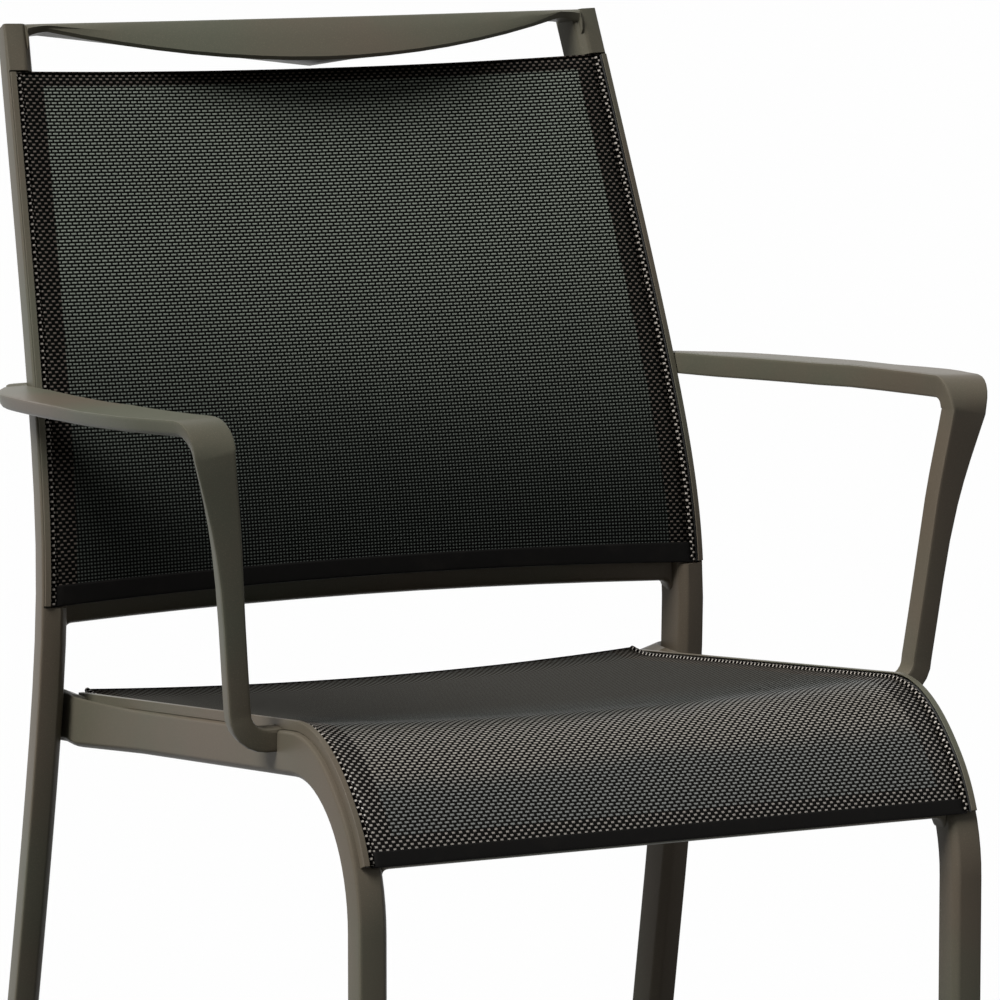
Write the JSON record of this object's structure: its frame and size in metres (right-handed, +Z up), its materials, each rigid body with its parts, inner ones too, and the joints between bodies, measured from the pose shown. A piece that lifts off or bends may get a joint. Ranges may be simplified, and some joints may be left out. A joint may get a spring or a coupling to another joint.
{
  "type": "stacking sling patio armchair",
  "caption": "Armchair with a welded faceted tube frame, woven mesh slings for seat and back, flat arms and open hand grips in the top rail.",
  "frame": {"origin": "on the floor, under the middle of the chair's outer size", "axes": "+Z up, +Y towards the chair's back, +X towards the sitter's left hand, which is the viewer's right from the front"},
  "size_m": [0.6136, 0.5656, 0.87],
  "materials": {
    "frame": "satin bronze-grey powder coat",
    "sling": "black coated open weave",
    "keder": "matte",
    "glide": "matte"
  },
  "bodies": {
    "root": {"left_rear_post": "frame", "right_rear_post": "frame", "left_seat_rail": "frame", "right_seat_rail": "frame", "left_arm": "frame", "right_arm": "frame", "left_arm_stub": "frame", "right_arm_stub": "frame", "crest_rail": "frame", "back_lower_rail": "frame", "front_crossbar": "frame", "rear_crossbar": "frame", "back_left_track": "frame", "back_right_track": "frame", "seat_left_track": "frame", "seat_right_track": "frame", "back_left_keder": "keder", "back_right_keder": "keder", "seat_left_keder": "keder", "seat_right_keder": "keder", "back_sling": "sling", "seat_sling": "sling", "front_left_glide": "glide", "front_right_glide": "glide", "rear_left_glide": "glide", "rear_right_glide": "glide"}
  },
  "joints": []
}
